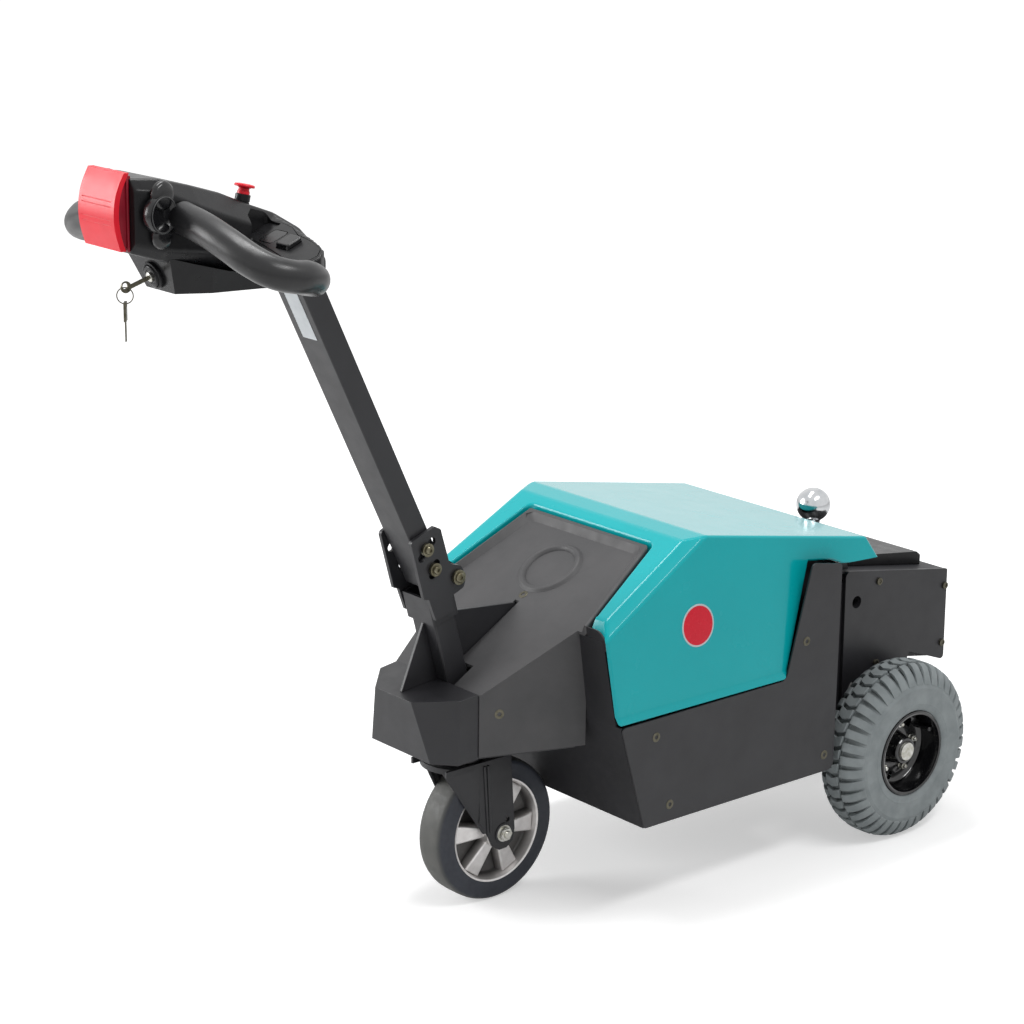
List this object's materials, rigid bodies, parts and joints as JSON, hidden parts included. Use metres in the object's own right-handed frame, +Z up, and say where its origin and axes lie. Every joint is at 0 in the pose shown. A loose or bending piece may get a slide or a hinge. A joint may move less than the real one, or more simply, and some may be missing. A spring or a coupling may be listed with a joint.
{
  "type": "pedestrian electric tow tractor",
  "caption": "Walk-beside electric tow tractor with a painted hood, a tilting tiller with a ring-handled control head, air-tyred drive wheels, a swivelling front castor and a rear tow ball.",
  "frame": {"origin": "on the floor, below the middle of the overall length and width", "axes": "+X forward to the tiller, +Y to the machine's left, +Z up"},
  "size_m": [1.3419, 0.462, 1.041],
  "materials": {
    "teal_paint": "gloss paint, clear coated",
    "black_powder": "fine textured powder coat, satin",
    "grey_cover": "fine grain, satin",
    "bright_zinc": "bright zinc plated",
    "black_plastic": "fine moulded grain",
    "grip_rubber": "smooth, soft sheen",
    "red_plastic": "satin, moulded ribs",
    "grey_tyre": "non-marking grey rubber",
    "castor_tyre": "solid elastic rubber",
    "castor_aluminium": "die cast, turned faces",
    "black_rim": "gloss black",
    "polished_ball": "polished",
    "battery_case": "moulded",
    "drive_casting": "cast, painted"
  },
  "bodies": {
    "chassis": {"battery": "battery_case", "castor_plate": "black_powder", "chassis_tray": "black_powder", "column_collar": "black_powder", "column_gusset_front": "black_powder", "column_gusset_rear": "black_powder", "drive_unit": "drive_casting", "front_cover": "grey_cover", "hood_hinge_left": "black_powder", "hood_hinge_right": "black_powder", "nose_block": "black_powder", "nose_spine_left": "black_powder", "nose_spine_right": "black_powder", "pivot_bolt": "bright_zinc", "rear_cover": "grey_cover", "rear_frame": "black_powder", "rear_side_plate_left": "black_powder", "rear_side_plate_right": "black_powder", "side_panel_left": "black_powder", "side_panel_right": "black_powder", "tiller_bracket_left": "black_powder", "tiller_bracket_right": "black_powder", "tiller_column": "black_powder", "tow_ball": "polished_ball"},
    "tiller": {"tiller_arm": "black_powder", "clamp_bolts": "bright_zinc", "head_upper_housing": "black_plastic", "head_lower_housing": "black_plastic", "grip_left": "grip_rubber", "grip_right": "grip_rubber", "thumb_switch_left": "black_plastic", "thumb_switch_right": "black_plastic", "belly_switch": "red_plastic", "stop_collar": "black_plastic", "stop_button": "red_plastic", "key_switch": "bright_zinc", "key": "bright_zinc", "key_ring": "bright_zinc", "spare_key": "bright_zinc", "key_plate_left": "black_plastic", "key_plate_right": "black_plastic", "wing_keys_left": "black_plastic", "wing_keys_right": "black_plastic"},
    "castor_fork": {"castor_fork": "black_powder", "castor_axle": "bright_zinc"},
    "castor_wheel": {"castor_tyre": "castor_tyre", "castor_rim": "castor_aluminium"},
    "wheel_left": {"drive_tyre_left": "grey_tyre", "drive_rim_left": "black_rim", "half_shaft_left": "bright_zinc"},
    "wheel_right": {"drive_tyre_right": "grey_tyre", "drive_rim_right": "black_rim", "half_shaft_right": "bright_zinc"},
    "hood": {"hood": "teal_paint"}
  },
  "joints": [
    {"name": "tiller_tilt", "type": "hinge", "parent": "chassis", "child": "tiller", "pos_m": [0.165, 0, 0.475], "axis": [0, 1, 0], "range_deg": [-10, 10]},
    {"name": "castor_swivel", "type": "hinge", "parent": "chassis", "child": "castor_fork", "pos_m": [0.134, 0, 0.206], "axis": [0, 0, 1], "continuous": true},
    {"name": "castor_roll", "type": "hinge", "parent": "castor_fork", "child": "castor_wheel", "pos_m": [0.085, 0, 0.1], "axis": [0, 1, 0], "continuous": true},
    {"name": "wheel_left_roll", "type": "hinge", "parent": "chassis", "child": "wheel_left", "pos_m": [-0.518, 0.193, 0.13], "axis": [0, 1, 0], "continuous": true},
    {"name": "wheel_right_roll", "type": "hinge", "parent": "chassis", "child": "wheel_right", "pos_m": [-0.518, -0.193, 0.13], "axis": [0, 1, 0], "continuous": true},
    {"name": "hood_lift", "type": "hinge", "parent": "chassis", "child": "hood", "pos_m": [-0.462, 0, 0.412], "axis": [0, -1, 0], "range_deg": [0, 55]}
  ]
}
